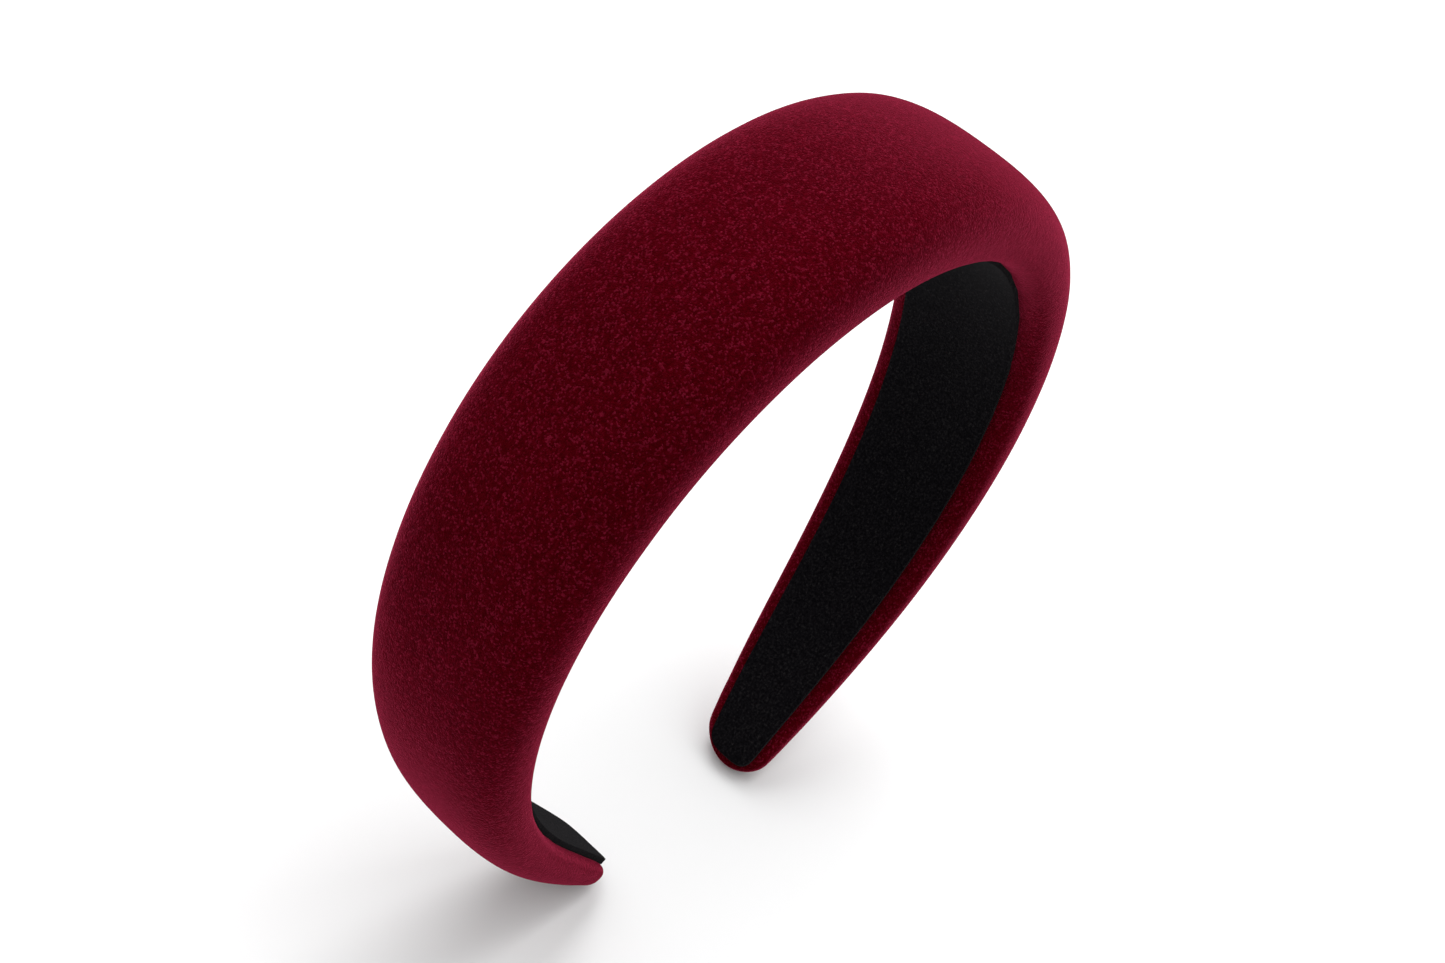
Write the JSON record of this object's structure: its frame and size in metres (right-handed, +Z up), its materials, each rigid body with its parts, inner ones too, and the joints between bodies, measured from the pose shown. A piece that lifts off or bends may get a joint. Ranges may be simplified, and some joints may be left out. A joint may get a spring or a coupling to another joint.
{
  "type": "padded headband",
  "caption": "Wide padded alice band: velvet over a domed foam pad on a springy arched strip, felt lined, tapering to rounded inward-turned tips.",
  "frame": {"origin": "on the floor under the middle of the band's box, with the band standing on both tips", "axes": "+X from ear to ear, +Y from the front edge to the back edge, +Z up to the crown"},
  "size_m": [0.1628, 0.0432, 0.1497],
  "materials": {
    "velvet": "burgundy short-pile velvet, darker face-on and paler at grazing angles",
    "felt": "matte black felt",
    "foam": "off-white open-cell polyurethane foam",
    "core_plastic": "milky moulded plastic",
    "glue_tape": "thin double-sided tape"
  },
  "bodies": {
    "root": {"core_band": "core_plastic", "pad_tape": "glue_tape", "foam_pad": "foam", "velvet_cover": "velvet", "front_hem_tape": "glue_tape", "back_hem_tape": "glue_tape", "lining_tape": "glue_tape", "felt_lining": "felt"}
  },
  "joints": []
}
